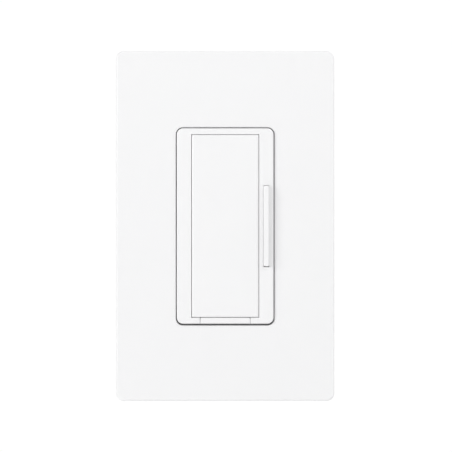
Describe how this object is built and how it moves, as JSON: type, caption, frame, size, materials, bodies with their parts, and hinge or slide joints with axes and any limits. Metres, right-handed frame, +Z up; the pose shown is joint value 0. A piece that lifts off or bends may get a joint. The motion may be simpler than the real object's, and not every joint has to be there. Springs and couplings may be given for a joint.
{
  "type": "wall dimmer switch",
  "caption": "White wall dimmer with a large tap paddle, a tilting dim bar, a pull-out service tab and a screwless wallplate.",
  "frame": {"origin": "midway between the two box screws, on the wall's face (the back rim of the wallplate)", "axes": "+X to the right as the user sees it, +Y into the wall, +Z up; the controls face -Y"},
  "size_m": [0.0746, 0.0411, 0.1194],
  "materials": {
    "wallplate_plastic": "satin, moulded, very faint texture",
    "control_plastic": "gloss, moulded",
    "adapter_plastic": "matte, moulded",
    "aluminium_sheet": "stamped, brushed",
    "zinc_steel": "zinc plated",
    "painted_screw": "white paint",
    "fibre_washer": "vulcanised fibre",
    "spring_steel": "drawn wire",
    "grey_nylon": "matte, moulded",
    "contact_copper": "plain copper",
    "brass_plate": "stamped",
    "insulating_card": "matte film",
    "board_laminate": "solder mask over glass fibre",
    "black_component": "moulded epoxy",
    "thermal_pad": "matte",
    "ferrite_coating": "epoxy coated powder core",
    "winding_wire": "enamelled copper",
    "film_case": "dipped",
    "can_sleeve": "heat-shrunk sleeve",
    "varistor_coat": "dipped",
    "ceramic_body": "glazed",
    "resistor_coat": "lacquered",
    "housing_plastic": "matte, fine texture",
    "black_screw": "black oxide",
    "green_screw": "green dye over zinc",
    "blank_label": "plain foil"
  },
  "bodies": {
    "base": {"wallplate": "wallplate_plastic", "wallplate_adapter": "adapter_plastic", "adapter_screws": "painted_screw", "yoke": "aluminium_sheet", "box_screws": "zinc_steel", "screw_retainers": "fibre_washer", "bezel": "control_plastic", "paddle_spring": "spring_steel", "rocker_pivot_pin": "zinc_steel", "fixed_contacts": "brass_plate", "switch_guide": "grey_nylon", "insulator_sheet": "insulating_card", "board_standoffs": "grey_nylon", "circuit_board": "board_laminate", "tap_switch": "black_component", "raise_switch": "black_component", "lower_switch": "black_component", "triac": "black_component", "triac_pad": "thermal_pad", "triac_rivet": "aluminium_sheet", "choke_core": "ferrite_coating", "choke_winding": "winding_wire", "film_capacitor": "film_case", "smoothing_capacitor": "can_sleeve", "varistor": "varistor_coat", "microcontroller": "black_component", "fuse": "ceramic_body", "resistors": "resistor_coat", "diodes": "black_component", "housing": "housing_plastic", "housing_screws": "zinc_steel", "common_terminal": "brass_plate", "traveller_terminals": "brass_plate", "pressure_plates": "brass_plate", "common_screw": "black_screw", "traveller_screws": "brass_plate", "ground_screw": "green_screw", "rear_label": "blank_label"},
    "paddle": {"tap_paddle": "control_plastic"},
    "rocker": {"dimmer_rocker": "control_plastic"},
    "service_switch": {"service_tab": "control_plastic", "service_slider": "grey_nylon", "bridge_contact": "contact_copper"},
    "tap_button": {"tap_plunger": "grey_nylon"},
    "raise_button": {"raise_plunger": "grey_nylon"},
    "lower_button": {"lower_plunger": "grey_nylon"}
  },
  "joints": [
    {"name": "paddle_press", "type": "hinge", "parent": "base", "child": "paddle", "pos_m": [0, -0.0044, 0.0288], "axis": [1, 0, 0], "range_deg": [0, 1.1], "stiffness_Nm_per_rad": 3, "deforming": ["paddle_spring"]},
    {"name": "rocker_tilt", "type": "hinge", "parent": "base", "child": "rocker", "pos_m": [0.014, -0.006, 0], "axis": [1, 0, 0], "range_deg": [-2.5, 2.5], "stiffness_Nm_per_rad": 0.3},
    {"name": "service_tab_pull", "type": "slide", "parent": "base", "child": "service_switch", "axis": [0, -1, 0], "range_m": [0, 0.004]},
    {"name": "tap_button_travel", "type": "slide", "parent": "base", "child": "tap_button", "axis": [0, 1, 0], "range_m": [0, 0.0005]},
    {"name": "raise_button_travel", "type": "slide", "parent": "base", "child": "raise_button", "axis": [0, 1, 0], "range_m": [-0.0004, 0.0004]},
    {"name": "lower_button_travel", "type": "slide", "parent": "base", "child": "lower_button", "axis": [0, 1, 0], "range_m": [-0.0004, 0.0004]}
  ],
  "couplings": [
    {"joint": "tap_button_travel", "follows": "paddle_press", "m_per_rad": 0.0228},
    {"joint": "raise_button_travel", "follows": "rocker_tilt", "m_per_rad": -0.009},
    {"joint": "lower_button_travel", "follows": "rocker_tilt", "m_per_rad": 0.009}
  ]
}
